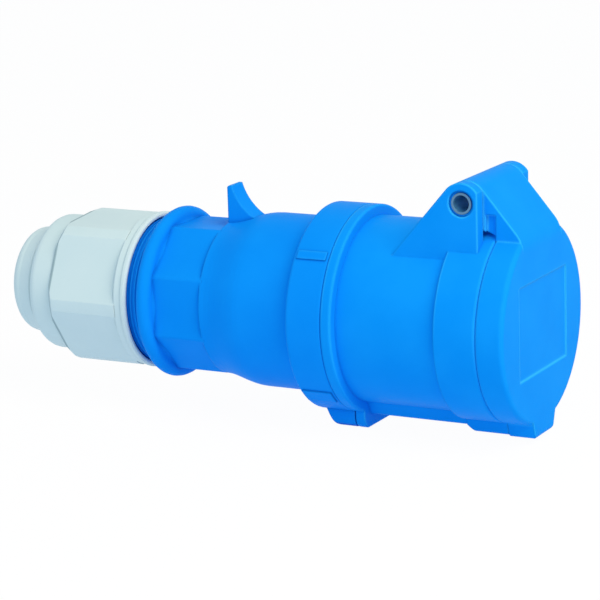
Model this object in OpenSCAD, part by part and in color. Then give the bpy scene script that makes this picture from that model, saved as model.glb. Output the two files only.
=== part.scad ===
// In-line pin and sleeve connector with a spring-closed lid, a two-part housing and a cable gland.
// Frame: X runs along the connector's axis towards the lid, Z points to the hinge, and the origin
// is the centre of the socket's rim. Lengths are in millimetres.

/* [Socket housing] */
// Bore that takes the plug's shroud
bore_d = 44.6; // [43:0.1:47]
// Wall of the socket shell
shell_wall = 2.4; // [2:0.1:3]
// Height of the rim band above the shell
band_rise = 1.7; // [1:0.1:2.5]
// Length of the rim band
band_len = 11.4; // [9:0.1:14]
// Length of the bare shell between band and flange
shell_len = 28.2; // [26:0.1:34]
// Height of the joint flange above the shell
flange_rise = 2.8; // [2.6:0.05:3.4]
// Thickness of the joint flange
flange_t = 2.8; // [2:0.1:4]
// Depth of the socket behind the rim
socket_depth = 36; // [33:0.1:37]
// Thickness of the ledge round the contact carrier, which the terminal block's flange seats on
ledge_t = 2.6; // [2:0.1:3.2]
// Wall of the spigot that enters the rear housing
spigot_wall = 2.4; // [2.2:0.05:2.6]
// Length of the spigot
spigot_len = 8.6; // [8:0.1:10]
// Edge break on moulded edges
edge_r = 0.6; // [0.3:0.05:0.9]

/* [Key channel] */
// Width of the channel that takes the plug's key
key_w = 9.6; // [8:0.1:11]
// Depth of the channel outside the bore
key_depth = 2.7; // [2:0.1:3.2]
// Wall on each side of the channel
keel_wall = 2; // [1.6:0.1:2.6]
// Floor under the channel
keel_floor = 2.5; // [2:0.1:3]
// Depth that the rim band and the lid add to the keel
keel_step = 1.6; // [1:0.1:2.5]
// Length of the slope at the back of the rim band's keel
keel_ramp = 1.9; // [1:0.1:3]
// Half of the taper across each side of the keel
keel_flare = 1.4; // [0.5:0.1:2.5]
// Depth of the two pry lugs below the keel
lug_depth = 3.5; // [3:0.1:6]
// Width of the two pry lugs
lug_w = 18; // [16.5:0.1:20]
// Length of the rear housing's pry lug along the axis
rear_lug_len = 8.5; // [7:0.1:9]

/* [Hinge and lid] */
// Distance of the hinge pin behind the rim
hinge_back = 7.6; // [6.5:0.1:9]
// Height of the hinge pin above the rim band
hinge_rise = 6.6; // [6:0.1:9]
// Diameter of the hinge pin
pin_d = 5.5; // [4.5:0.1:6]
// Wall of the hollow hinge pin
pin_wall = 0.6; // [0.4:0.05:1]
// Radius of the lid's knuckle and of the ear tops
knuckle_r = 5.3; // [4.8:0.1:5.8]
// Width of the lid's neck between the ears
neck_w = 25; // [20:0.5:27]
// Thickness of each housing ear
ear_t = 3.6; // [2.5:0.1:5]
// Length of the ear behind the hinge pin
ear_tail = 19.6; // [16:0.1:24]
// Length of the ear in front of the hinge pin
ear_nose = 4.4; // [4:0.1:5]
// Depth of the round recess at each end of the pin
pin_recess = 0.8; // [0.4:0.1:1.2]
// Depth of the lid from its face to the rim
lid_depth = 7.5; // [6.5:0.1:9]
// Thickness of the lid's face
lid_face_t = 3; // [2:0.1:3.5]
// Wall of the lid's skirt
skirt_wall = 2.2; // [1.8:0.1:2.8]
// Rounding of the lid's outer edge
lid_edge_r = 1.2; // [0.6:0.1:2]
// Rounding where the sloping neck meets the lid's face
brow_r = 8; // [4:0.5:10]
// Thickness of the sloping roof of the lid's neck
roof_t = 1.3; // [1:0.05:1.4]
// Thickness of each cheek of the lid's neck
cheek_t = 2.4; // [2:0.1:3]
// Length of each knuckle along the pin
knuckle_len = 4.5; // [3.5:0.1:5.5]
// Width of the shallow field on the lid's face
field_w = 30.6; // [26:0.1:34]
// Height of the shallow field on the lid's face
field_h = 24.2; // [20:0.1:27]
// Depth of the shallow field
field_t = 0.35; // [0.2:0.05:0.6]
// Width of the lid's sealing ring
seal_w = 3; // [2:0.1:4]
// Wire diameter of the lid's spring
spring_wire = 0.8; // [0.6:0.05:0.9]
// Turns of the lid's spring
spring_turns = 8; // [5:1:11]

/* [Contacts] */
// Diameter of the contact carrier inside the socket
carrier_d = 34.6; // [33:0.1:35]
// Recess of the carrier's face behind the rim
carrier_recess = 1.5; // [1:0.1:3]
// Thickness of the terminal block's seating flange
block_flange_t = 3; // [2.5:0.1:4]
// Circle on which the three sleeves lie
contact_pcd = 22; // [20:0.1:24]
// Diameter of the line and neutral pins
pole_pin_d = 5; // [4.5:0.1:5.5]
// Diameter of the earth pin
earth_pin_d = 6; // [5.5:0.1:6.5]
// Clearance of a pin in its sleeve
pin_clear = 0.05; // [0.03:0.01:0.1]
// Wall of a contact sleeve
sleeve_wall = 1.05; // [0.8:0.05:1.2]
// Length of the slots in a sleeve
sleeve_slot_len = 18; // [12:0.5:22]
// Thickness of the front wall over each sleeve
carrier_wall = 2.7; // [2:0.1:3.5]
// Length of the terminal block behind its flange
block_len = 15.4; // [14:0.1:18]
// Diameter of the conductor hole in a terminal
wire_hole_d = 4.4; // [3.5:0.1:4.8]
// Shank diameter of the terminal screws
terminal_screw_d = 3.2; // [2.6:0.1:3.6]

/* [Rear housing] */
// Length of the joint collar
collar_len = 10.4; // [9.8:0.1:12]
// Length of the step from the collar to the body
collar_slope = 1.8; // [1.6:0.1:4]
// Drop from the collar to the body
collar_drop = 4.1; // [3:0.1:4.2]
// Length of the round body
body_len = 27.4; // [25:0.1:32]
// Drop of the body from the collar to the grip
body_drop = 2.4; // [1.8:0.1:2.8]
// Wall of the rear housing
rear_wall = 2.3; // [2:0.1:2.8]
// Width of the octagonal grip across its flats
grip_w = 39.2; // [37:0.1:40]
// Rounding diameter of the grip's corners
grip_round_d = 42.2; // [41:0.1:42.5]
// Length of the octagonal grip
grip_len = 14.6; // [12:0.1:18]
// Diameter of the lip behind the grip
lip_d = 46.7; // [45.5:0.1:49]
// Thickness of the rounded lip
lip_t = 4; // [3.4:0.1:4.6]
// Height of the thumb fin above the axis
fin_top = 30.8; // [28:0.1:34]
// Thickness of the thumb fin
fin_t = 6; // [4:0.1:8]
// Length of the thumb fin at its foot
fin_len = 8.6; // [7:0.1:12]
// Radius of the fin's hollow front
fin_hollow_r = 15; // [11:0.5:24]

/* [Cable gland] */
// Diameter of the neck's ridged shoulder
shoulder_d = 39.2; // [38:0.1:40]
// Length of the shoulder behind the lip
shoulder_len = 6; // [5.5:0.1:8]
// Crest diameter of the neck's thread
thread_d = 32.6; // [31:0.1:33]
// Length of the threaded neck
thread_len = 15; // [12:0.1:18]
// Running clearance between the neck and the gland nut
thread_clear = 0.3; // [0.2:0.05:0.5]
// Gap between the lip and the gland nut
nut_gap = 4; // [2.8:0.1:4.5]
// Diameter of the nut's front ring
nut_ring_d = 42.8; // [42.5:0.1:45]
// Length of the nut's front ring
nut_ring_len = 4; // [3.5:0.1:6]
// Width of the nut's hexagon across its corners, before they are turned
nut_hex_d = 44.2; // [43.8:0.1:45]
// Diameter to which the hexagon's corners are turned
nut_round_d = 42.4; // [41:0.1:43]
// Length of the nut's hexagon
nut_hex_len = 21.1; // [18:0.1:26]
// Turn of the nut's hexagon about the axis, in degrees
nut_clock = 5; // [0:1:59]
// Diameter of the nut's shoulder behind the hexagon
nut_back_d = 37.4; // [36:0.1:37.6]
// Length of the nut's shoulder
nut_back_len = 8; // [6:0.1:10]
// Diameter of the nut's nose
nut_nose_d = 31; // [28:0.1:33]
// Length of the nut's nose
nut_nose_len = 8; // [6:0.1:10]
// Diameter of the cable that the seal is closed on
cable_d = 12; // [8:0.1:14]
// Outer diameter of the clamp cage
cage_d = 26.4; // [25:0.1:27]
// Wall of the clamp cage
cage_wall = 2.4; // [2:0.1:2.8]
// Fingers of the clamp cage
cage_fingers = 8; // [6:1:10]
// Length of the cage's fingers outside the neck
finger_len = 13; // [10:0.1:15]
// Thickness of the thrust ring under the nut
thrust_t = 2; // [1.5:0.1:2.5]

/* [Clearances] */
// Gap between faces that move past each other
move_clear = 0.3; // [0.2:0.05:0.4]
// Gap between pieces that are fitted into each other
fit_clear = 0.1; // [0.05:0.01:0.15]
// Running clearance of the lid's knuckles on the pin
run_clear = 0.06; // [0.03:0.01:0.1]

/* [Hidden] */

// Facets of a full turn, and of a small round
round_fn = 96;
small_fn = 48;
// Overlap that keeps cuts and joints clean
eps = 0.5;
// Depth by which a form is rooted in the wall that carries it
root = 2;

// Socket housing
bore_r = bore_d / 2;
shell_r = bore_r + shell_wall;
band_r = shell_r + band_rise;
flange_r = shell_r + flange_rise;
recess_r = bore_r - fit_clear;
spigot_r = recess_r + spigot_wall;
x_band = -band_len;
x_flange = x_band - shell_len;
x_part = x_flange - flange_t;
x_spigot = x_part - spigot_len;
x_ledge = -socket_depth;
x_seat = x_ledge - ledge_t;

// Housing seal in its groove on the spigot
oring_r = 0.75;
groove_set = 1.2;
groove_depth = 2 * oring_r;
groove_w = 2 * oring_r + 2 * fit_clear;
x_groove = x_part - groove_set;

// Bayonet that joins the two housings
bayonet_count = 3;
bayonet_w = 8;
bayonet_t = 2;
bayonet_rise = 0.9;
bayonet_turn = 30;
bayonet_set = 0.6;
bayonet_clear = 0.25;
bayonet_slot_w = bayonet_w + 4 * bayonet_clear;
x_bayonet = x_spigot + bayonet_set;
x_bayonet_front = x_bayonet + bayonet_t + bayonet_clear;

// Key channel, keel and pry lugs
key_z = bore_r + key_depth;
keel_z = key_z + keel_floor;
keel_half = key_w / 2 + keel_wall;
keel_foot = keel_half - keel_flare / 2;
keel_top = keel_half + keel_flare;
keel_top_z = bore_r - 0.5;
keel_round = 1.6;
keel_draft = 15;
band_keel_z = keel_z + keel_step;
lug_z = keel_z + lug_depth;
lug_half = lug_w / 2;
lug_round = 2.2;
lug_corner = 3.2;
lug_gap = 0.15;
lug_chamfer = 0.4;
ramp_lap = 0.3;
rear_lug_slope = 4;

// Hinge
pin_x = -hinge_back;
pin_z = band_r + hinge_rise;
pin_r = pin_d / 2;
pin_grip = 0.03;
pin_hole_r = pin_r + pin_grip;
recess_margin = 0.65;
recess_hole_r = pin_r + recess_margin;
pin_proud = 0.5;
neck_half = neck_w / 2;
ear_in = neck_half + move_clear;
ear_out = ear_in + ear_t;
ear_foot_z = bore_r - 3 * root;
ear_tail_z = sqrt(shell_r * shell_r - ear_out * ear_out);

// Lid
lid_gap = 0.12;
skirt_in_r = band_r - skirt_wall;
x_face_in = lid_depth - lid_face_t;
tab_step = 0.4;
tab_round = 1.8;
tab_edge = 1.2;
tab_z = band_keel_z + tab_step;
roof_foot_z = sqrt(band_r * band_r - neck_half * neck_half);
neck_root_z = bore_r - 2 * root;
neck_clear = 0.5;
pocket_w = 2.7;
pocket_h = 5.6;
pocket_t = 1;
pocket_rise = 1;
hood_in_r = knuckle_r - roof_t;
seal_bevel = 1;
seal_crown = 0.3;

// Slope of the lid's roof, from its foot on the face to the knuckle that it touches
roof_foot = [lid_depth, roof_foot_z];
roof_top = touch(roof_foot, [pin_x, pin_z], knuckle_r, -1);
roof_dir = (roof_top - roof_foot) / norm(roof_top - roof_foot);
roof_out = [roof_dir[1], -roof_dir[0]];
brow_turn = acos(roof_dir[1]);
brow_len = brow_r * tan(brow_turn / 2);

// Lid spring
coil_clear = 0.2;
coil_r = pin_r + coil_clear + spring_wire / 2;
coil_end_gap = 1.4;
coil_half = neck_half - knuckle_len - coil_end_gap;
leg_clear = 0.25;
leg_back = 3.6;
leg_reach = 7;

// Contacts
carrier_r = carrier_d / 2;
x_carrier = -carrier_recess;
contact_r = contact_pcd / 2;
line_angle = 150;
neutral_angle = 30;
earth_angle = -90;
contacts = [[line_angle, pole_pin_d], [neutral_angle, pole_pin_d], [earth_angle, earth_pin_d]];
pin_hole_clear = 0.5;
lead_in = 0.8;
sleeve_front = x_carrier - carrier_wall;
sleeve_tip = sleeve_front - fit_clear;
sleeve_floor = 1;
stop_t = 2;
stop_rise = 0.5;
x_stop = x_seat + stop_t;
terminal_rise = 0.6;
ring_t = 0.5;
ring_len = 3;
ring_back = 2.4;
block_margin = 0.2;
block_r = carrier_r + block_margin;
block_flange_r = recess_r - fit_clear;
x_block_step = x_seat - block_flange_t;
x_block_back = x_block_step - block_len;
terminal_set = 1.6;
terminal_back = x_block_back + terminal_set;
terminal_floor_t = 2.4;
terminal_floor = x_seat - terminal_floor_t;
x_terminal_screw = (x_block_step + terminal_back) / 2;

// Screws inside the housing
slot_w = 0.7;
head_clear = 0.4;
terminal_head_r = 2.4;
terminal_head_t = 2;
terminal_tip = 0.8;
screw_shank_share = 0.65;
carrier_head_gap = 0.25;
carrier_head_r = 2.2;
carrier_head_t = 1.4;
carrier_seat = 0.2;
carrier_screw_r = carrier_head_r * screw_shank_share;
carrier_screw_pcr = recess_r - carrier_head_gap - carrier_head_r;
carrier_screw_turn = 30;
carrier_screw_bite = 1.6;
block_screw_r = 1.5;
block_head_r = 2.8;
block_head_t = 2;
block_screw_depth = 10;

// Rear housing
collar_r = flange_r;
lug_seat_z = sqrt(collar_r * collar_r - lug_half * lug_half);
body_r = collar_r - collar_drop;
grip_r = body_r - body_drop;
grip_flat_r = grip_w / 2;
grip_sides = 8;
collar_in_r = spigot_r + fit_clear;
bayonet_in_r = spigot_r + bayonet_rise + 2 * bayonet_clear;
x_collar = x_part - collar_len;
x_body = x_collar - collar_slope;
collar_edge = 0.9;
collar_foot = 1.2;
collar_lean = 15;
bar_set = 1.5 * edge_r;
bar_len = collar_len - 2 * bar_set - collar_edge / 4;
bar_rise = 0.3;
bars = [[49.5, 2.4], [136, 4.8]];
body_plain = 14.4;
body_in_taper = 14;
x_grip = x_body - body_len;
x_lip = x_grip - grip_len;
x_lip_back = x_lip - lip_t;
body_in_r = body_r - rear_wall;
grip_in_r = grip_flat_r - rear_wall;
x_collar_floor = x_spigot - bayonet_clear;
lip_r = lip_d / 2;
lip_fillet = 1.5;
lip_lap = 0.4;
fin_top_len = 1.3;
fin_chamfer = 0.4;

// Neck and gland
shoulder_r = shoulder_d / 2;
x_shoulder = x_lip_back - shoulder_len;
thread_r = thread_d / 2;
x_neck = x_shoulder - thread_len;
ridge_pitch = 1.2;
ridge_depth = 0.35;
ridge_count = floor(shoulder_len / ridge_pitch);
cage_r = cage_d / 2;
cage_in_r = cage_r - cage_wall;
neck_in_r = cage_r + fit_clear;
seat_lap = 0.4;
seat_in_r = cage_in_r - seat_lap;
seat_set = 4.2;
seat_cone = 5.4;
x_seat_back = x_lip - seat_set;
x_fingers = x_neck - finger_len;
finger_drop = 2.2;
finger_tip_r = cage_r - finger_drop;
finger_tip_t = 1;
finger_hook = 0.8;
finger_slot_w = 1.2;
seal_r = cage_in_r - fit_clear;
seal_lead = 2;
x_seal_back = x_fingers + finger_tip_t + eps;
cable_r = cable_d / 2;
thrust_gap = 1.4;
thrust_in_r = cable_r + thrust_gap;
x_thrust = x_fingers - move_clear;
x_thrust_back = x_thrust - thrust_t;

// Gland nut
x_nut = x_lip_back - nut_gap;
x_ring = x_nut - nut_ring_len;
x_hex = x_ring - nut_hex_len;
x_back = x_hex - nut_back_len;
x_nose = x_back - nut_nose_len;
nut_ring_r = nut_ring_d / 2;
nut_round_r = nut_round_d / 2;
nut_back_r = nut_back_d / 2;
nut_nose_r = nut_nose_d / 2;
nut_thread_r = thread_r + thread_clear;
nut_counter_r = shoulder_r + thread_clear;
x_counter = x_shoulder - 2 * move_clear;
nut_core_r = nut_hex_d / 2 * cos(30) - eps;
nut_bead_len = 1.3;
nut_bead_rise = 0.35;
nut_chamfer = 0.45;
hex_chamfer = 1.4;
nut_back_round = 2.4;
nose_groove = 0.75;
nose_taper = 0.8;
nose_round = 2.6;
nose_draft = 10;
cone_r = cage_r + 3 * move_clear;
cone_set = 1;
cone_len = 2;
pocket_r = finger_tip_r + 2 * move_clear;
pocket_lap = 2.2;
entry_gap = 0.6;
entry_r = thrust_in_r + entry_gap;
entry_draft = 0.25;
entry_flare = 1.2;

blue = "#1292fc";
gland_grey = "#cfe0e4";
seal_grey = "#3a3d40";
carrier_grey = "#d9d9d6";
brass = "#c9a64a";
steel = "#b8bcc0";

// Points along an arc about a centre, from one angle to another
function arc(centre, r, from, to, steps = 6) =
  [for (i = [0:steps])
    let (turn = from + (to - from) * i / steps)
    centre + r * [cos(turn), sin(turn)]];

// Point where a line from an outside point touches a circle; side is +1 or -1
function touch(point, centre, r, side) =
  let (
    d = centre - point,
    turn = atan2(d[1], d[0]) + side * asin(r / norm(d)),
    reach = sqrt(d * d - r * r)
  )
  point + reach * [cos(turn), sin(turn)];

// Half-cosine step from one radius to another along x, as [radius, x] points
function eased(r0, x0, r1, x1, steps = 8) =
  [for (i = [0:steps])
    [r0 + (r1 - r0) * (1 - cos(180 * i / steps)) / 2, x0 + (x1 - x0) * i / steps]];

// Solid of revolution about the connector's axis, from a [radius, x] outline
module turned() {
  rotate([0, 90, 0])
    rotate_extrude($fn = round_fn)
      children();
}

// Straight extrusion along X of a (Y, Z) section
module along_x(from, to) {
  translate([from, 0, 0])
    rotate([90, 0, 90])
      linear_extrude(to - from)
        children();
}

// Straight extrusion along Y of an (X, Z) section
module across_y(from, to) {
  translate([0, to, 0])
    rotate([90, 0, 0])
      linear_extrude(to - from)
        children();
}

// Pair of extrusions along Y, from an inner to an outer distance on both sides
module both_sides(inner, outer) {
  across_y(inner, outer) children();
  across_y(-outer, -inner) children();
}

// Round rod along the connector's axis
module rod_x(from, to, r) {
  translate([from, 0, 0])
    rotate([0, 90, 0])
      cylinder(h = to - from, r = r, $fn = round_fn);
}

// Round rod about the hinge pin's axis
module rod_y(from, to, r) {
  translate([pin_x, to, pin_z])
    rotate([90, 0, 0])
      cylinder(h = to - from, r = r, $fn = small_fn);
}

// Tapered keel section that hangs below the axis to a given depth
module keel_section(depth, corner = keel_round) {
  polygon(concat(
    [[-keel_top, -keel_top_z + root], [-keel_top, -keel_top_z]],
    arc([corner - keel_foot, corner - depth], corner, 180 + keel_draft, 270, 4),
    arc([keel_foot - corner, corner - depth], corner, 270, 360 - keel_draft, 4),
    [[keel_top, -keel_top_z], [keel_top, -keel_top_z + root]]
  ));
}

// Blocks spread round the spigot for the bayonet's lugs and slots
module bayonet_blocks(from, to, w, r, turn) {
  for (i = [0:bayonet_count - 1])
    rotate([turn + i * 360 / bayonet_count, 0, 0])
      translate([from, -w / 2, spigot_r - root / 2])
        cube([to - from, w, r - spigot_r + root / 2]);
}

// Places a child at each of the two carrier screws, opposite each other on the terminal block's flange
module at_carrier_screws() {
  for (side = [0, 180])
    rotate([carrier_screw_turn + side, 0, 0])
      translate([0, 0, carrier_screw_pcr])
        children();
}

// Holes for the ends of the carrier screws in front of the seat
module carrier_screw_holes() {
  at_carrier_screws()
    rod_x(x_seat - eps, x_seat + carrier_screw_bite + 2 * fit_clear, carrier_screw_r + fit_clear);
}

// Side outline of an ear, from its foot on the shell up round the pin
module ear_outline() {
  pin = [pin_x, pin_z];
  tail = [pin_x - ear_tail, ear_tail_z];
  nose_x = pin_x + ear_nose;
  intersection() {
    union() {
      translate(pin)
        circle(r = knuckle_r, $fn = small_fn);
      polygon([
        tail, touch(tail, pin, knuckle_r, 1), pin, [nose_x, pin_z],
        [nose_x, ear_foot_z], [tail[0], ear_foot_z]
      ]);
    }
    translate([nose_x - 2 * ear_tail, 0])
      square([2 * ear_tail, pin_z + 2 * knuckle_r]);
  }
}

// Ring section of the socket housing, from the rim back to the spigot
module socket_section() {
  polygon(concat(
    [[bore_r, 0]],
    arc([band_r - edge_r, -edge_r], edge_r, 90, 0, 3),
    [[band_r, x_band], [shell_r, x_band], [shell_r, x_flange]],
    arc([flange_r - edge_r, x_flange - edge_r], edge_r, 90, 0, 3),
    [
      [flange_r, x_part], [spigot_r, x_part],
      [spigot_r, x_groove], [spigot_r - groove_depth, x_groove],
      [spigot_r - groove_depth, x_groove - groove_w], [spigot_r, x_groove - groove_w],
      [spigot_r, x_spigot], [recess_r, x_spigot], [recess_r, x_seat],
      [carrier_r + fit_clear, x_seat], [carrier_r + fit_clear, x_ledge], [bore_r, x_ledge]
    ]
  ));
}

// Front view of a pry lug: a tongue with rounded lower corners
module lug_section() {
  polygon(concat(
    [[-lug_half, 0]],
    arc([lug_corner - lug_half, lug_corner - lug_z], lug_corner, 180, 270, 5),
    arc([lug_half - lug_corner, lug_corner - lug_z], lug_corner, 270, 360, 5),
    [[lug_half, 0]]
  ));
}

// Pry lug from its side outline, cut to the tongue's front view
module pry_lug(from, to) {
  intersection() {
    across_y(-lug_half - eps, lug_half + eps) children();
    along_x(from - eps, to + eps) lug_section();
  }
}

// Deeper keel of the rim band, with a sloping back
module band_keel() {
  slope = [keel_ramp, -keel_step - ramp_lap];
  foot = [x_band, ramp_lap - keel_z];
  below = foot + 2 * slope;
  intersection() {
    along_x(x_band, 0) keel_section(band_keel_z);
    across_y(-keel_top - eps, keel_top + eps)
      polygon([[eps, 0], [x_band - eps, 0], [x_band - eps, foot[1]], foot, below, [eps, below[1]]]);
  }
}

// Side outline of the socket housing's pry lug, as thick as the joint flange
module front_lug_outline() {
  from = x_part + lug_gap;
  polygon([
    [x_flange, root - shell_r], [from, root - shell_r],
    [from, lug_chamfer - lug_z], [from + lug_chamfer, -lug_z],
    [x_flange - lug_chamfer, -lug_z], [x_flange, lug_chamfer - lug_z]
  ]);
}

module front_housing() {
  color(blue)
    difference() {
      union() {
        turned() socket_section();
        both_sides(ear_in, ear_out) ear_outline();
        along_x(x_flange - flange_t / 2, 0) keel_section(keel_z);
        band_keel();
        pry_lug(x_part, x_flange) front_lug_outline();
        bayonet_blocks(x_bayonet, x_bayonet + bayonet_t, bayonet_w, spigot_r + bayonet_rise, 0);
      }
      rod_x(x_ledge, eps, bore_r);
      rod_x(x_spigot - eps, x_seat, recess_r);
      along_x(x_ledge, eps)
        translate([-key_w / 2, -key_z])
          square([key_w, key_depth + bore_r / 2]);
      rod_y(-ear_out - eps, ear_out + eps, pin_hole_r);
      rod_y(ear_out - pin_recess, ear_out + eps, recess_hole_r);
      rod_y(-ear_out - eps, pin_recess - ear_out, recess_hole_r);
      carrier_screw_holes();
    }
}

// Side outline of the rear housing's pry lug, with a short sloping back
module rear_lug_outline() {
  to = x_part - lug_gap;
  from = to - rear_lug_len;
  polygon(concat(
    [[to, root - collar_r], [to, lug_chamfer - lug_z], [to - lug_chamfer, -lug_z]],
    arc([from + rear_lug_slope, lug_round - lug_z], lug_round, 270, 210, 4),
    [[from, lug_chamfer - lug_seat_z]]
  ));
}

// Ring section of the rear housing from the collar to the grip, with its bayonet groove
module body_section() {
  polygon(concat(
    arc([collar_r - edge_r, x_part - edge_r], edge_r, 90, 0, 3),
    arc([collar_r - collar_edge, x_collar + collar_edge], collar_edge, 0, collar_lean - 90, 4),
    arc([body_r + collar_foot, x_body], collar_foot, 90 + collar_lean, 180, 4),
    eased(body_r, x_body - body_plain, grip_r, x_grip),
    [
      [grip_in_r, x_grip], [grip_in_r, x_grip + root / 2],
      [body_in_r, x_body - body_in_taper], [body_in_r, x_collar_floor],
      [bayonet_in_r, x_collar_floor], [bayonet_in_r, x_bayonet_front],
      [collar_in_r, x_bayonet_front], [collar_in_r, x_part]
    ]
  ));
}

// Low bars on the collar, the same on both sides
module collar_bars() {
  for (bar = bars, side = [-1, 1])
    rotate([side * bar[0], 0, 0])
      translate([x_part - bar_set - bar_len, -bar[1] / 2, collar_r - root / 2])
        cube([bar_len, bar[1], root / 2 + bar_rise]);
}

// Octagonal grip with rounded corners, hollow inside
module grip() {
  from = x_lip - eps;
  to = x_grip + eps;
  intersection() {
    difference() {
      along_x(x_lip, to)
        rotate(180 / grip_sides)
          circle(r = grip_flat_r / cos(180 / grip_sides), $fn = grip_sides);
      rod_x(from, to + eps, grip_in_r);
    }
    rod_x(from, to + eps, grip_round_d / 2);
  }
}

// Ring section of the lip, the neck's ridged shoulder and the threaded neck with the cage's seat
module neck_section() {
  lip_edge = lip_t / 2;
  foot_r = grip_flat_r - lip_lap;
  x_foot = x_lip + lip_fillet;
  groove_r = shoulder_r - ridge_depth;
  ridge = [[0, groove_r], [0.4, groove_r], [0.55, shoulder_r], [0.85, shoulder_r]];
  polygon(concat(
    [[grip_in_r, x_foot + root / 2], [foot_r, x_foot + root / 2]],
    arc([foot_r + lip_fillet, x_foot], lip_fillet, 180, 270, 5),
    arc([lip_r - lip_edge, x_lip - lip_edge], lip_edge, 90, -90, 10),
    [for (i = [0:ridge_count - 1], step = ridge)
      [step[1], x_lip_back - (i + step[0]) * ridge_pitch]],
    [
      [groove_r, x_shoulder], [thread_r, x_shoulder],
      [thread_r, x_neck + edge_r], [thread_r - edge_r, x_neck], [neck_in_r, x_neck],
      [neck_in_r, x_seat_back], [seat_in_r, x_seat_back], [grip_in_r, x_seat_back + seat_cone]
    ]
  ));
}

// Side outline of the thumb fin: upright back, short top and hollow front
module fin_outline() {
  top = [x_grip + fin_top_len, fin_top];
  foot = [x_grip + fin_len, grip_r + root / 2];
  span = foot - top;
  out = [-span[1], span[0]] / norm(span);
  hollow = (top + foot) / 2 + out * sqrt(fin_hollow_r * fin_hollow_r - span * span / 4);
  difference() {
    polygon([
      [x_grip, grip_r - root / 2], [x_grip, fin_top - fin_chamfer], [x_grip + fin_chamfer, fin_top],
      top, foot, [foot[0], grip_r - root / 2]
    ]);
    translate(hollow)
      circle(r = fin_hollow_r, $fn = round_fn);
  }
}

module rear_housing() {
  color(blue)
    difference() {
      union() {
        turned() body_section();
        grip();
        turned() neck_section();
        across_y(-fin_t / 2, fin_t / 2) fin_outline();
        pry_lug(x_part - lug_gap - rear_lug_len, x_part) rear_lug_outline();
        collar_bars();
      }
      rod_x(x_collar_floor, x_bayonet_front, bayonet_in_r);
      bayonet_blocks(x_bayonet, x_part + eps, bayonet_slot_w, bayonet_in_r, bayonet_turn);
    }
}

module housing_seal() {
  color(seal_grey)
    turned()
      translate([spigot_r - groove_depth + oring_r + fit_clear / 2, x_groove - groove_w / 2])
        circle(r = oring_r, $fn = small_fn);
}

// Rounded line from the lid's face up on to the roof
function brow_arc() = arc([lid_depth - brow_r, roof_foot_z - brow_len], brow_r, 0, brow_turn, 6);

// Side outline of the lid's neck: knuckle, roof and cheeks down to the lid's disc
module neck_outline() {
  translate([pin_x, pin_z])
    circle(r = knuckle_r, $fn = small_fn);
  polygon(concat(
    [[lid_depth, neck_root_z]],
    brow_arc(),
    [
      roof_top, [pin_x, pin_z], [pin_x, pin_z - knuckle_r],
      [lid_gap, roof_foot_z + pocket_rise], [lid_gap, neck_root_z]
    ]
  ));
}

// Side outline of the hollow under the roof and hood, between the cheeks
module neck_hollow() {
  under_top = roof_top - roof_out * roof_t;
  under_foot = under_top - roof_dir * (under_top[0] - x_face_in) / roof_dir[0];
  behind = pin_x - 2 * knuckle_r;
  translate([pin_x, pin_z])
    circle(r = hood_in_r, $fn = small_fn);
  polygon([
    [behind, pin_z], [pin_x, pin_z], under_top, under_foot, [x_face_in, 0], [behind, 0]
  ]);
}

// Pull tab under the lid, in line with the keel, with a rounded lower front edge
module pull_tab() {
  difference() {
    along_x(lid_gap, lid_depth) keel_section(tab_z, tab_round);
    across_y(-keel_top - eps, keel_top + eps)
      polygon(concat(
        arc([lid_depth - tab_edge, tab_edge - tab_z], tab_edge, 270, 360, 5),
        [
          [lid_depth + eps, tab_edge - tab_z], [lid_depth + eps, -tab_z - eps],
          [lid_depth - tab_edge, -tab_z - eps]
        ]
      ));
  }
}

// Lid disc with its pull tab, cut back where the roof slopes away from the face
module lid_disc() {
  reach = 2 * lid_depth;
  difference() {
    union() {
      turned()
        polygon(concat(
          [[0, lid_gap], [band_r - edge_r / 2, lid_gap], [band_r, lid_gap + edge_r / 2]],
          arc([band_r - lid_edge_r, lid_depth - lid_edge_r], lid_edge_r, 0, 90, 4),
          [[0, lid_depth]]
        ));
      pull_tab();
    }
    across_y(-neck_half, neck_half)
      polygon(concat(
        brow_arc(),
        [roof_foot + roof_dir * reach, roof_foot + roof_dir * reach + roof_out * reach],
        [[lid_depth + reach, roof_foot_z - brow_len]]
      ));
  }
}

// Hollow neck of the lid with its knuckles and a shallow pocket in each cheek, clear of the rim band
module lid_neck() {
  knuckle_out_r = (knuckle_r + hood_in_r) / 2;
  difference() {
    union() {
      across_y(-neck_half, neck_half)
        difference() {
          neck_outline();
          neck_hollow();
        }
      both_sides(neck_half - cheek_t, neck_half) neck_outline();
      rod_y(neck_half - knuckle_len, neck_half, knuckle_out_r);
      rod_y(-neck_half, knuckle_len - neck_half, knuckle_out_r);
    }
    rod_x(pin_x - 2 * knuckle_r, lid_gap, band_r + neck_clear);
    both_sides(neck_half - pocket_t, neck_half + eps)
      translate([lid_gap - pocket_w, roof_foot_z + pocket_rise])
        square([pocket_w, pocket_h]);
  }
}

module lid() {
  color(blue)
    difference() {
      union() {
        lid_disc();
        lid_neck();
      }
      rod_x(-eps, x_face_in, skirt_in_r);
      rod_y(-neck_half - eps, neck_half + eps, pin_r + run_clear);
      translate([lid_depth - field_t, -field_w / 2, -field_h / 2])
        cube([2 * field_t, field_w, field_h]);
    }
}

module lid_seal() {
  outer = skirt_in_r - fit_clear;
  inner = outer - seal_w;
  color(seal_grey)
    turned()
      polygon([
        [inner, x_face_in], [outer, x_face_in], [outer, move_clear + seal_bevel],
        [outer - seal_w * seal_crown, move_clear], [inner + seal_w * seal_crown, move_clear],
        [inner, move_clear + seal_bevel]
      ]);
}

module hinge_pin() {
  half = ear_out - pin_recess + pin_proud;
  color(steel)
    difference() {
      rod_y(-half, half, pin_r);
      rod_y(-half - eps, half + eps, pin_r - pin_wall);
    }
}

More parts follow.
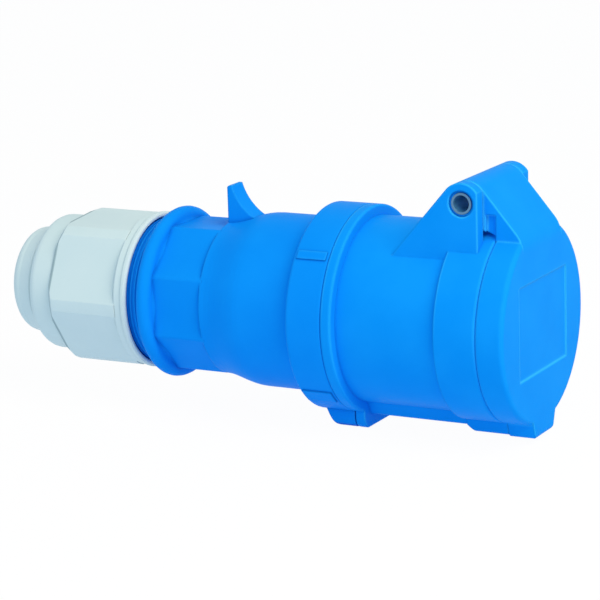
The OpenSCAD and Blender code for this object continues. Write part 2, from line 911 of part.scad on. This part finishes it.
// Stations along the lid spring's wire: its centre and outward direction in (X, Z), and its Y
function spring_path() =
  let (
    pin = [pin_x, pin_z],
    rest = [pin_x - leg_back, band_r + leg_clear + spring_wire / 2],
    push = roof_top - roof_dir * leg_reach - roof_out * (roof_t + leg_clear + spring_wire / 2),
    from = touch(rest, pin, coil_r, 1) - pin,
    to = touch(push, pin, coil_r, -1) - pin,
    start = atan2(from[1], from[0]),
    finish = atan2(to[1], to[0]),
    sweep = -360 * spring_turns + (finish - start),
    steps = 14 * spring_turns
  )
  concat(
    [[rest, from / coil_r, -coil_half]],
    [for (i = [0:steps])
      let (turn = start + sweep * i / steps, out = [cos(turn), sin(turn)])
      [pin + coil_r * out, out, -coil_half + 2 * coil_half * i / steps]],
    [[push, to / coil_r, coil_half]]
  );

module lid_spring() {
  sides = 8;
  wire_r = spring_wire / 2;
  path = spring_path();
  last = len(path) - 1;
  points = [for (p = path, k = [0:sides - 1])
    let (a = 360 * k / sides, c = p[0] + p[1] * wire_r * cos(a))
    [c[0], p[2] + wire_r * sin(a), c[1]]];
  walls = [for (i = [0:last - 1], k = [0:sides - 1])
    let (a = i * sides + k, b = i * sides + (k + 1) % sides)
    [a, b, b + sides, a + sides]];
  caps = [[for (k = [sides - 1:-1:0]) k], [for (k = [0:sides - 1]) last * sides + k]];
  color(steel)
    polyhedron(points, concat(walls, caps));
}

// Sizes that follow from a contact pin's diameter
function sleeve_r(pin_d) = pin_d / 2 + pin_clear + sleeve_wall;
function channel_r(pin_d) = sleeve_r(pin_d) + ring_t + 2 * fit_clear;
function stop_r(pin_d) = channel_r(pin_d) + stop_rise;
function terminal_r(pin_d) = sleeve_r(pin_d) + terminal_rise;

// Places a child on the contact circle with its local +Y pointing outwards
module at_contact(angle) {
  rotate([angle, 0, 0])
    translate([0, contact_r, 0])
      children();
}

// Stepped hole for one contact: seat of the stop collar, sleeve channel and the pin's funnel
module contact_cavity(pin_d) {
  seat = stop_r(pin_d) + fit_clear;
  channel = channel_r(pin_d);
  hole = pin_d / 2 + pin_hole_clear;
  turned()
    polygon([
      [0, x_seat - eps], [seat, x_seat - eps], [seat, x_stop],
      [channel, x_stop], [channel, sleeve_front], [hole, sleeve_front],
      [hole + lead_in, x_carrier], [hole + lead_in, x_carrier + eps], [0, x_carrier + eps]
    ]);
}

module contact_carrier() {
  color(carrier_grey)
    difference() {
      turned()
        polygon([
          [0, x_seat], [carrier_r, x_seat],
          [carrier_r, x_carrier - edge_r], [carrier_r - edge_r, x_carrier], [0, x_carrier]
        ]);
      for (c = contacts)
        at_contact(c[0]) contact_cavity(c[1]);
      carrier_screw_holes();
      rod_x(x_seat - eps, x_seat + block_screw_depth + eps, block_screw_r + fit_clear);
    }
}

// Insulator round the terminals, with the flange that seats on the socket's ledge
module terminal_block() {
  color(carrier_grey)
    difference() {
      turned()
        polygon([
          [0, x_block_back], [block_r, x_block_back], [block_r, x_block_step],
          [block_flange_r, x_block_step], [block_flange_r, x_seat], [0, x_seat]
        ]);
      for (c = contacts)
        at_contact(c[0]) {
          rod_x(x_block_back - eps, x_seat + eps, terminal_r(c[1]) + fit_clear);
          translate([x_terminal_screw, 0, 0])
            rotate([-90, 0, 0])
              cylinder(h = block_r, r = terminal_head_r + head_clear, $fn = small_fn);
        }
      at_carrier_screws() {
        rod_x(x_block_step - eps, x_seat + eps, carrier_screw_r + fit_clear);
        rod_x(x_block_back - eps, x_block_step + carrier_seat, carrier_head_r + carrier_head_gap);
      }
      rod_x(x_block_back - eps, x_seat + eps, block_screw_r + fit_clear);
    }
}

// Slotted screw along +X, with the underside of its head at the origin
module slotted_screw(shank_r, shank_len, head_r, head_t) {
  difference() {
    union() {
      rod_x(0, shank_len, shank_r);
      rod_x(-head_t, 0, head_r);
    }
    translate([-head_t - eps, -slot_w / 2, -2 * head_r])
      cube([head_t / 2 + eps, slot_w, 4 * head_r]);
  }
}

module carrier_screws() {
  color(steel)
    at_carrier_screws()
      translate([x_block_step + carrier_seat, 0, 0])
        slotted_screw(
          carrier_screw_r, block_flange_t - carrier_seat + carrier_screw_bite,
          carrier_head_r, carrier_head_t
        );
}

module block_screw() {
  color(steel)
    translate([x_block_back, 0, 0])
      slotted_screw(
        block_screw_r, block_len + block_flange_t + block_screw_depth, block_head_r, block_head_t
      );
}

// Turned contact: slotted sleeve in front, stop collar, terminal with its conductor hole behind
module sleeve(pin_d) {
  bore = pin_d / 2 + pin_clear;
  outer = sleeve_r(pin_d);
  stop = stop_r(pin_d);
  terminal = terminal_r(pin_d);
  wire_hole = wire_hole_d / 2;
  color(brass)
    difference() {
      turned()
        polygon([
          [0, x_seat + sleeve_floor], [bore, x_seat + sleeve_floor], [bore, sleeve_tip],
          [outer, sleeve_tip], [outer, x_stop - fit_clear], [stop, x_stop - fit_clear],
          [stop, x_seat], [terminal, x_seat], [terminal, terminal_back],
          [wire_hole, terminal_back], [wire_hole, terminal_floor], [0, terminal_floor]
        ]);
      for (turn = [45, 135])
        rotate([turn, 0, 0])
          translate([sleeve_tip - sleeve_slot_len, -slot_w / 2, -pin_d])
            cube([sleeve_slot_len + eps, slot_w, 2 * pin_d]);
      translate([x_terminal_screw, 0, 0])
        rotate([-90, 0, 0])
          cylinder(h = 2 * terminal, r = terminal_screw_d / 2 + fit_clear, $fn = small_fn);
    }
}

// Split spring ring that closes the sleeve's fingers on the pin
module sleeve_ring(pin_d) {
  to = sleeve_front - ring_back;
  from = to - ring_len;
  inner = sleeve_r(pin_d) + fit_clear / 2;
  color(steel)
    difference() {
      rod_x(from, to, sleeve_r(pin_d) + ring_t);
      rod_x(from - eps, to + eps, inner);
      translate([from - eps, -slot_w / 2, 0])
        cube([ring_len + 2 * eps, slot_w, 2 * pin_d]);
    }
}

// Slotted clamp screw that runs in from outside the contact circle
module terminal_screw(pin_d) {
  under = terminal_r(pin_d) + head_clear;
  color(steel)
    translate([x_terminal_screw, under, 0])
      rotate([0, 0, -90])
        slotted_screw(
          terminal_screw_d / 2, under - terminal_tip, terminal_head_r, terminal_head_t
        );
}

module line_sleeve() { at_contact(line_angle) sleeve(pole_pin_d); }
module neutral_sleeve() { at_contact(neutral_angle) sleeve(pole_pin_d); }
module earth_sleeve() { at_contact(earth_angle) sleeve(earth_pin_d); }

module line_sleeve_ring() { at_contact(line_angle) sleeve_ring(pole_pin_d); }
module neutral_sleeve_ring() { at_contact(neutral_angle) sleeve_ring(pole_pin_d); }
module earth_sleeve_ring() { at_contact(earth_angle) sleeve_ring(earth_pin_d); }

module line_terminal_screw() { at_contact(line_angle) terminal_screw(pole_pin_d); }
module neutral_terminal_screw() { at_contact(neutral_angle) terminal_screw(pole_pin_d); }
module earth_terminal_screw() { at_contact(earth_angle) terminal_screw(earth_pin_d); }

// Ring with slit fingers that the nut's cone presses inwards on the seal
module clamp_cage() {
  hook_r = cage_in_r - finger_hook;
  color(carrier_grey)
    difference() {
      turned()
        polygon([
          [cage_in_r, x_seat_back], [cage_r, x_seat_back], [cage_r, x_neck - cone_set],
          [finger_tip_r, x_fingers + finger_tip_t], [finger_tip_r - finger_hook, x_fingers],
          [hook_r, x_fingers], [hook_r, x_fingers + finger_tip_t],
          [cage_in_r, x_fingers + finger_tip_t + eps]
        ]);
      for (i = [0:cage_fingers - 1])
        rotate([i * 360 / cage_fingers, 0, 0])
          translate([x_fingers - eps, -finger_slot_w / 2, hook_r - eps])
            cube([finger_len + eps + root, finger_slot_w, cage_wall + finger_hook + 2 * eps]);
    }
}

module cable_seal() {
  color(seal_grey)
    turned()
      polygon([
        [cable_r, x_seal_back], [seal_r, x_seal_back], [seal_r, x_seat_back],
        [cable_r + seal_lead, x_seat_back], [cable_r, x_seat_back - seal_lead]
      ]);
}

module thrust_ring() {
  color(carrier_grey)
    turned()
      translate([thrust_in_r, x_thrust_back])
        square([finger_tip_r - thrust_in_r, thrust_t]);
}

// Turned parts of the gland nut: beaded front ring, core of the hexagon, shoulder and grooved nose
module nut_section() {
  ring_low_r = nut_ring_r - nut_bead_rise;
  groove_r = nut_nose_r - nose_groove;
  polygon(concat(
    [[0, x_nut], [nut_ring_r - nut_chamfer, x_nut], [nut_ring_r, x_nut - nut_chamfer]],
    [[nut_ring_r, x_nut - nut_bead_len], [ring_low_r, x_nut - nut_bead_len - nut_chamfer]],
    [[ring_low_r, x_ring + nut_chamfer], [ring_low_r - nut_chamfer, x_ring], [nut_core_r, x_ring]],
    [[nut_core_r, x_hex + eps], [nut_back_r, x_hex]],
    arc([nut_back_r - nut_back_round, x_back + nut_back_round], nut_back_round, 0, -80, 5),
    [[groove_r, x_back], [groove_r, x_back - nose_groove], [nut_nose_r, x_back - 2 * nose_groove]],
    arc([nut_nose_r - nose_taper - nose_round, x_nose + nose_round], nose_round, nose_draft, -90, 6),
    [[0, x_nose]]
  ));
}

// Turned envelope that rounds the hexagon's corners and chamfers its rear end
module hex_section() {
  polygon([
    [0, x_ring + eps], [nut_round_r, x_ring + eps], [nut_round_r, x_hex + hex_chamfer],
    [nut_round_r - hex_chamfer, x_hex], [0, x_hex]
  ]);
}

// Inside of the gland nut: counterbore over the neck's shoulder, thread bore, cone and cable hole
module nut_hole_section() {
  x_pocket = x_thrust_back - fit_clear;
  mouth_r = nut_counter_r + nut_chamfer;
  exit_r = entry_r + entry_draft;
  polygon([
    [0, x_nut + eps], [mouth_r + eps, x_nut + eps], [mouth_r - nut_chamfer, x_nut - nut_chamfer],
    [nut_counter_r, x_counter], [nut_thread_r, x_counter], [nut_thread_r, x_neck - cone_set],
    [cone_r, x_neck - cone_set - cone_len], [pocket_r, x_thrust + pocket_lap],
    [pocket_r, x_pocket], [entry_r, x_pocket], [exit_r, x_nose + entry_flare],
    [exit_r + entry_flare + eps, x_nose - eps], [0, x_nose - eps]
  ]);
}

module gland_nut() {
  color(gland_grey)
    difference() {
      union() {
        turned() nut_section();
        intersection() {
          turned() hex_section();
          along_x(x_hex, x_ring + eps)
            rotate(nut_clock)
              circle(r = nut_hex_d / 2, $fn = 6);
        }
      }
      turned() nut_hole_section();
    }
}

front_housing();
rear_housing();
housing_seal();
lid();
lid_seal();
hinge_pin();
lid_spring();
contact_carrier();
terminal_block();
carrier_screws();
block_screw();
line_sleeve();
neutral_sleeve();
earth_sleeve();
line_sleeve_ring();
neutral_sleeve_ring();
earth_sleeve_ring();
line_terminal_screw();
neutral_terminal_screw();
earth_terminal_screw();
clamp_cage();
cable_seal();
thrust_ring();
gland_nut();
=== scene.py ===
"""Looks of the in-line pin and sleeve connector: camera, light, finishes and a copy of the lid spring."""
import math

import bpy
from mathutils import Matrix, Vector

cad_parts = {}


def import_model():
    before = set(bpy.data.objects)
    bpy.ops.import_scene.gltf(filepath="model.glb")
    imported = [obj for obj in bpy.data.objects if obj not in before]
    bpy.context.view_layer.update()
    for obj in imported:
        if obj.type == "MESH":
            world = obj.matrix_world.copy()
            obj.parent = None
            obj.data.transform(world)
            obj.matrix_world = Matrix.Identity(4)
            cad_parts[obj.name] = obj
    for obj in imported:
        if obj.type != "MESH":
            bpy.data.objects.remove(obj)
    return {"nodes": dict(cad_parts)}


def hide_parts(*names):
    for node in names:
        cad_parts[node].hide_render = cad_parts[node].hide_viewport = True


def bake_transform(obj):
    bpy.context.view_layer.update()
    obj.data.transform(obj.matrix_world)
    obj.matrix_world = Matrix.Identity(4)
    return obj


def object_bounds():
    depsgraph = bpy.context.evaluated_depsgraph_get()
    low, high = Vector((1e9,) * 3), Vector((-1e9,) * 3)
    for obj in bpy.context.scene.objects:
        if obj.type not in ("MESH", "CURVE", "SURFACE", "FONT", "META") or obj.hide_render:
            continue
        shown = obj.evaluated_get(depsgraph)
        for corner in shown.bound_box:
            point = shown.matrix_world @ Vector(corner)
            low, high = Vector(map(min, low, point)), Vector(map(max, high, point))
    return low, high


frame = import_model()
cad_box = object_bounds()

MM = 0.001

# Camera, fitted to the photograph: where it stands, what it looks at, its roll and its focal length in pixels
IMAGE_PX = 600
CAMERA_AT = Vector((257.46, -595.78, 158.58)) * MM
CAMERA_AIM = Vector((-62.66, 0.0, 0.32)) * MM
CAMERA_ROLL = math.radians(-1.86)
CAMERA_SIGHT_M = 20
FOCAL_PX = 2600
SENSOR_MM = 36

# Lamps: offset from the camera's aim and side of the soft box in metres, watts and tint
KEY_FROM = (0.42, -0.20, 0.48)
KEY_SIDE = 0.45
KEY_WATTS = 3.45
KEY_TINT = (1.0, 0.88, 0.70)
FILL_FROM = (0.0, -0.55, 0.03)
FILL_SIDE = 0.3
FILL_WATTS = 0.42
FILL_TINT = (0.76, 0.88, 1.0)

# Dome and floor, as linear colours: light of the dome, the floor's own colour, its glow and the glow's share,
# and the share of the floor's white that takes the object's shadow
WHITE = (1.0, 1.0, 1.0, 1)
DOME = (0.46, 0.56, 0.69, 1)
BOUNCE = (0.84, 0.96, 1.0, 1)
GLOW = (0.70, 0.78, 1.0, 1)
GLOW_SHARE = 0.5
SHADOW_SHARE = 0.03
FLOOR_REACH_M = 6.0

# Finishes, as linear colours: lighter and deeper tone of each, the painted highlight on its edges, the
# painted tone in its creases (shade, but light on the lid and a reflection in the pin's bore) and the tint of
# its sheen
BLUE = (0.0045, 0.298, 0.855, 1)
BLUE_DEEP = (0.003, 0.278, 0.835, 1)
BLUE_PAINTED_HIGHLIGHT = (0.03, 0.48, 0.98, 1)
BLUE_PAINTED_SHADE = (0.003, 0.20, 0.80, 1)
BLUE_SHEEN = (0.0, 0.40, 1.0, 1)
LID_PAINTED_LIGHT = (0.05, 0.58, 1.0, 1)
REAR_BLUE = (0.004, 0.278, 0.85, 1)
REAR_BLUE_DEEP = (0.003, 0.260, 0.83, 1)
REAR_PAINTED_HIGHLIGHT = (0.012, 0.33, 0.90, 1)
REAR_PAINTED_SHADE = (0.002, 0.13, 0.62, 1)
GLAND = (0.625, 0.752, 0.733, 1)
GLAND_DEEP = (0.600, 0.732, 0.718, 1)
GLAND_PAINTED_HIGHLIGHT = (0.72, 0.82, 0.81, 1)
GLAND_PAINTED_SHADE = (0.32, 0.44, 0.45, 1)
CARRIER = (0.66, 0.66, 0.62, 1)
CARRIER_DEEP = (0.60, 0.60, 0.56, 1)
RUBBER = (0.030, 0.032, 0.034, 1)
RUBBER_DEEP = (0.020, 0.021, 0.023, 1)
BRASS = (0.72, 0.50, 0.17, 1)
BRASS_DEEP = (0.62, 0.41, 0.13, 1)
STEEL = (0.46, 0.50, 0.54, 1)
STEEL_DEEP = (0.34, 0.38, 0.43, 1)
PIN = (0.10, 0.22, 0.35, 1)
PIN_DEEP = (0.07, 0.17, 0.29, 1)
PIN_BORE_PAINTED_REFLECTION = (0.15, 0.58, 1.0, 1)

# Noise in every finish, as features in a metre and detail: drift of the colour, uneven gloss and fine grain
DRIFT = (70, 3.0)
DRIFT_SPAN = (0.35, 0.65)
GLOSS = (900, 4.0)
GLOSS_SPREAD = 0.06
GRAIN = (4000, 2.0)
GRAIN_STRENGTH = 0.5

# Openness round a point: a plain face, and where the painted highlight on an edge and the painted tone in a
# crease are full
PLAIN = 0.96
EDGE_FULL = 0.6
CREASE_FULL = 0.4

# How far from an edge its painted highlight reaches, and the cosines to the key light between which it fades
# in
EDGE_REACH_MM = 0.6
EDGE_TURN = (0.25, 0.45)

# Painted shade: a dark hoop behind the gland nut's flats, where a step's shade falls: place along the axis
# and half width
NUT_PAINTED_SHADE_HOOP_MM = (-129.4, 0.45)


def add(tree, kind, inputs=None, **settings):
    """Adds a shader node with its settings and the values of its inputs."""
    node = tree.nodes.new(kind)
    for name, value in settings.items():
        setattr(node, name, value)
    for name, value in (inputs or {}).items():
        node.inputs[name].default_value = value
    return node


def noise(tree, place, per_metre, detail):
    """Noise with that many features in a metre of the object."""
    node = add(tree, "ShaderNodeTexNoise", {"Scale": per_metre, "Detail": detail})
    tree.links.new(place.outputs["Object"], node.inputs["Vector"])
    return node.outputs["Fac"]


def near(tree, reach_mm, full, inside, alone=True):
    """Share from 0 on plain faces to 1 where the surface turns within reach.

    With inside it turns outwards, as at an edge, and otherwise inwards, as in a crease.
    """
    around = add(tree, "ShaderNodeAmbientOcclusion", {"Distance": reach_mm * MM}, samples=6)
    around.inside = inside
    around.only_local = alone
    share = add(tree, "ShaderNodeMapRange", {"From Min": PLAIN, "From Max": full})
    tree.links.new(around.outputs["AO"], share.inputs["Value"])
    return share.outputs["Result"]


def painted_highlight_share(tree, normal):
    """Share of the painted highlight: 1 on rounded edges that are turned to the key light, and 0 on those
    turned away.
    """
    turn = add(tree, "ShaderNodeVectorMath", operation="DOT_PRODUCT")
    turn.inputs[1].default_value = Vector(KEY_FROM).normalized()
    tree.links.new(normal, turn.inputs[0])
    lit = add(tree, "ShaderNodeMapRange", {"From Min": EDGE_TURN[0], "From Max": EDGE_TURN[1]})
    tree.links.new(turn.outputs["Value"], lit.inputs["Value"])
    share = add(tree, "ShaderNodeMath", operation="MULTIPLY")
    tree.links.new(near(tree, EDGE_REACH_MM, EDGE_FULL, True), share.inputs[0])
    tree.links.new(lit.outputs["Result"], share.inputs[1])
    return share.outputs[0]


def hoop(tree, place, at_mm, half_mm):
    """Share of 1 in a hoop round the X axis at that place, fading to 0 at its sides."""
    axis = add(tree, "ShaderNodeSeparateXYZ")
    tree.links.new(place.outputs["Object"], axis.inputs["Vector"])
    off = add(tree, "ShaderNodeMath", operation="SUBTRACT")
    off.inputs[1].default_value = at_mm * MM
    tree.links.new(axis.outputs["X"], off.inputs[0])
    away = add(tree, "ShaderNodeMath", operation="ABSOLUTE")
    tree.links.new(off.outputs["Value"], away.inputs[0])
    band = add(tree, "ShaderNodeMapRange", {"From Min": half_mm * MM, "From Max": half_mm / 2 * MM})
    tree.links.new(away.outputs["Value"], band.inputs["Value"])
    return band.outputs["Result"]


def drift(tree, place, light, deep):
    """Colour that drifts slowly between two tones."""
    ramp = add(tree, "ShaderNodeValToRGB")
    for stop, at, tone in zip(ramp.color_ramp.elements, DRIFT_SPAN, (deep, light)):
        stop.position = at
        stop.color = tone
    tree.links.new(noise(tree, place, *DRIFT), ramp.inputs["Fac"])
    return ramp.outputs["Color"]


def over(tree, colour, share, tone):
    """Colour that turns to a tone by a share."""
    mix = add(tree, "ShaderNodeMix", data_type="RGBA")
    mix.inputs["B"].default_value = tone
    tree.links.new(share, mix.inputs["Factor"])
    tree.links.new(colour, mix.inputs["A"])
    return mix.outputs["Result"]


def finish(
    name, light, deep, rough, shine, metal=0.0, sheen=None,
    grain_mm=0.006, edge_mm=0.3, edge=None, crease=None, crease_mm=0.8, alone=True, ring=None,
):
    """Surface finish: slow drift between two colours, a painted highlight on edges, a painted tone in
    creases, a painted shade hoop, uneven gloss and fine grain.
    """
    mat = bpy.data.materials.new(name)
    mat.use_nodes = True
    tree = mat.node_tree
    link = tree.links.new
    shader = tree.nodes["Principled BSDF"]
    shader.inputs["Metallic"].default_value = metal
    shader.inputs["Specular IOR Level"].default_value = shine
    if sheen:
        shader.inputs["Specular Tint"].default_value = sheen
    place = add(tree, "ShaderNodeTexCoord")
    rounded = add(tree, "ShaderNodeBevel", {"Radius": edge_mm * MM}, samples=8).outputs["Normal"]

    colour = drift(tree, place, light, deep)
    # Painted highlight: edges turned to the key light take a lighter tone
    if edge:
        colour = over(tree, colour, painted_highlight_share(tree, rounded), edge)
    # Painted tone in creases: shade on most finishes, light on the lid and a reflection in the pin's bore
    if crease:
        colour = over(tree, colour, near(tree, crease_mm, CREASE_FULL, False, alone), crease)
    # Painted shade: a dark hoop where a step's shade falls
    if ring:
        colour = over(tree, colour, hoop(tree, place, *ring), crease)
    link(colour, shader.inputs["Base Color"])

    gloss = add(tree, "ShaderNodeMapRange", {"To Min": rough - GLOSS_SPREAD, "To Max": rough + GLOSS_SPREAD})
    link(noise(tree, place, *GLOSS), gloss.inputs["Value"])
    link(gloss.outputs["Result"], shader.inputs["Roughness"])

    bump = add(tree, "ShaderNodeBump", {"Strength": GRAIN_STRENGTH, "Distance": grain_mm * MM})
    link(noise(tree, place, *GRAIN), bump.inputs["Height"])
    link(rounded, bump.inputs["Normal"])
    link(bump.outputs["Normal"], shader.inputs["Normal"])
    return mat


def paint(mat, *names):
    """Gives CAD nodes their finish."""
    for name in names:
        node = frame["nodes"][name]
        node.data.materials.clear()
        node.data.materials.append(mat)


def aim(place, target, roll=0.0):
    """World matrix of a lamp or camera that looks from place to target."""
    back = (place - target).normalized()
    right = Vector((0, 0, 1)).cross(back).normalized()
    up = back.cross(right)
    turned_right = right * math.cos(roll) + up * math.sin(roll)
    turned_up = up * math.cos(roll) - right * math.sin(roll)
    matrix = Matrix((turned_right, turned_up, back)).transposed().to_4x4()
    matrix.translation = place
    return matrix


def camera():
    """Camera at the photograph's viewing angle."""
    data = bpy.data.cameras.new("camera")
    data.sensor_width = SENSOR_MM
    data.lens = FOCAL_PX / IMAGE_PX * SENSOR_MM
    data.clip_end = CAMERA_SIGHT_M
    view = bpy.data.objects.new("camera", data)
    view.matrix_world = aim(CAMERA_AT, CAMERA_AIM, CAMERA_ROLL)
    bpy.context.scene.collection.objects.link(view)
    bpy.context.scene.camera = view


def lamp(name, offset, side, watts, tint):
    """Square soft box that looks at the object from an offset."""
    data = bpy.data.lights.new(name, "AREA")
    data.size = side
    data.energy = watts
    data.color = tint
    box = bpy.data.objects.new(name, data)
    box.matrix_world = aim(CAMERA_AIM + Vector(offset), CAMERA_AIM)
    bpy.context.scene.collection.objects.link(box)


def seen_plainly(tree):
    """Value of 1 for camera, reflected and refracted rays, which see the plain background."""
    path = add(tree, "ShaderNodeLightPath")
    either = add(tree, "ShaderNodeMath", operation="MAXIMUM")
    tree.links.new(path.outputs["Is Camera Ray"], either.inputs[0])
    tree.links.new(path.outputs["Is Glossy Ray"], either.inputs[1])
    any_of = add(tree, "ShaderNodeMath", operation="MAXIMUM")
    tree.links.new(either.outputs[0], any_of.inputs[0])
    tree.links.new(path.outputs["Is Transmission Ray"], any_of.inputs[1])
    return any_of.outputs[0]


def world():
    """White background for the camera, with a dimmer cool dome as the light."""
    data = bpy.data.worlds.new("studio")
    data.use_nodes = True
    bpy.context.scene.world = data
    tree = data.node_tree
    light = tree.nodes["Background"]
    light.inputs["Strength"].default_value = 1.0
    sky = add(tree, "ShaderNodeMix", data_type="RGBA")
    sky.inputs["A"].default_value = DOME
    sky.inputs["B"].default_value = WHITE
    tree.links.new(seen_plainly(tree), sky.inputs["Factor"])
    tree.links.new(sky.outputs["Result"], light.inputs["Color"])


def blend_shaders(tree, share, first, second):
    """Surface that turns from the first shader to the second by a share."""
    mix = add(tree, "ShaderNodeMixShader", {"Fac": share})
    tree.links.new(first.outputs[0], mix.inputs[1])
    tree.links.new(second.outputs[0], mix.inputs[2])
    return mix


def floor_finish():
    """Floor that bounces and glows on to the object, and that the camera sees white with a faint shadow."""
    mat = bpy.data.materials.new("floor")
    mat.use_nodes = True
    tree = mat.node_tree
    tree.nodes.clear()
    bounce = add(tree, "ShaderNodeBsdfDiffuse", {"Color": BOUNCE})
    glow = add(tree, "ShaderNodeEmission", {"Color": GLOW, "Strength": 1.0})
    lit = blend_shaders(tree, GLOW_SHARE, bounce, glow)
    white = add(tree, "ShaderNodeEmission", {"Color": WHITE, "Strength": 1.0})
    shaded = add(tree, "ShaderNodeBsdfDiffuse", {"Color": WHITE})
    seen = blend_shaders(tree, SHADOW_SHARE, white, shaded)
    both = blend_shaders(tree, 0.0, lit, seen)
    tree.links.new(seen_plainly(tree), both.inputs["Fac"])
    out = add(tree, "ShaderNodeOutputMaterial")
    tree.links.new(both.outputs[0], out.inputs["Surface"])
    return mat


def floor():
    """Plain pale floor under the object's lowest point."""
    reach = FLOOR_REACH_M
    z = cad_box[0][2]
    corners = [(-reach, -reach, z), (reach, -reach, z), (reach, reach, z), (-reach, reach, z)]
    mesh = bpy.data.meshes.new("floor")
    mesh.from_pydata(corners, [], [(0, 1, 2, 3)])
    mesh.materials.append(floor_finish())
    plane = bpy.data.objects.new("floor", mesh)
    bpy.context.scene.collection.objects.link(plane)


def winding_spring():
    """Painted copy of the lid spring, put in place of the CAD node, which is hidden."""
    node = frame["nodes"]["lid_spring"]
    spring = bpy.data.objects.new("lid_spring_wire", node.data.copy())
    bpy.context.scene.collection.objects.link(spring)
    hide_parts("lid_spring")
    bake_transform(spring)


camera()
world()
floor()
lamp("key", KEY_FROM, KEY_SIDE, KEY_WATTS, KEY_TINT)
lamp("fill", FILL_FROM, FILL_SIDE, FILL_WATTS, FILL_TINT)

moulded = dict(rough=0.42, shine=0.012, edge_mm=0.7, sheen=BLUE_SHEEN)
# Blue finishes: painted highlight on edges turned to the key light and painted shade in creases
blue = finish("housing_blue", BLUE, BLUE_DEEP, edge=BLUE_PAINTED_HIGHLIGHT, crease=BLUE_PAINTED_SHADE, **moulded)
# The lid's creases take painted light: a lighter tone where the band's shade would fall on the seam
lid_blue = finish("lid_blue", BLUE, BLUE_DEEP, edge=BLUE_PAINTED_HIGHLIGHT, crease=LID_PAINTED_LIGHT, alone=False, **moulded)
# The rear housing's painted shade also falls where the neighbouring parts crowd in
rear_blue = finish(
    "rear_housing_blue", REAR_BLUE, REAR_BLUE_DEEP, edge=REAR_PAINTED_HIGHLIGHT, crease=REAR_PAINTED_SHADE,
    crease_mm=1.3, alone=False, **moulded,
)
gland = finish(
    "gland_grey", GLAND, GLAND_DEEP, rough=0.5, shine=0.1, edge_mm=0.4,
    edge=GLAND_PAINTED_HIGHLIGHT, crease=GLAND_PAINTED_SHADE, ring=NUT_PAINTED_SHADE_HOOP_MM,
)
carrier = finish("carrier_plastic", CARRIER, CARRIER_DEEP, rough=0.5, shine=0.3)
rubber = finish("seal_rubber", RUBBER, RUBBER_DEEP, rough=0.7, shine=0.3, grain_mm=0.02)
brass = finish("brass", BRASS, BRASS_DEEP, rough=0.3, shine=0.5, metal=1.0, edge_mm=0.15)
steel = finish("steel", STEEL, STEEL_DEEP, rough=0.3, shine=0.5, metal=1.0, edge_mm=0.12)
# The pin's bore takes a painted reflection of the blue around it as its crease tone
pin_steel = finish(
    "pin_steel", PIN, PIN_DEEP, rough=0.3, shine=0.5, metal=0.5, edge_mm=0.12,
    crease=PIN_BORE_PAINTED_REFLECTION, crease_mm=4.0,
)

paint(blue, "front_housing")
paint(lid_blue, "lid")
paint(rear_blue, "rear_housing")
paint(gland, "gland_nut")
paint(carrier, "contact_carrier", "terminal_block", "clamp_cage", "thrust_ring")
paint(rubber, "lid_seal", "housing_seal", "cable_seal")
paint(brass, "line_sleeve", "neutral_sleeve", "earth_sleeve")
paint(
    steel, "lid_spring", "carrier_screws", "block_screw",
    "line_sleeve_ring", "neutral_sleeve_ring", "earth_sleeve_ring",
    "line_terminal_screw", "neutral_terminal_screw", "earth_terminal_screw",
)
paint(pin_steel, "hinge_pin")
winding_spring()

bpy.context.scene.view_settings.view_transform = "Standard"
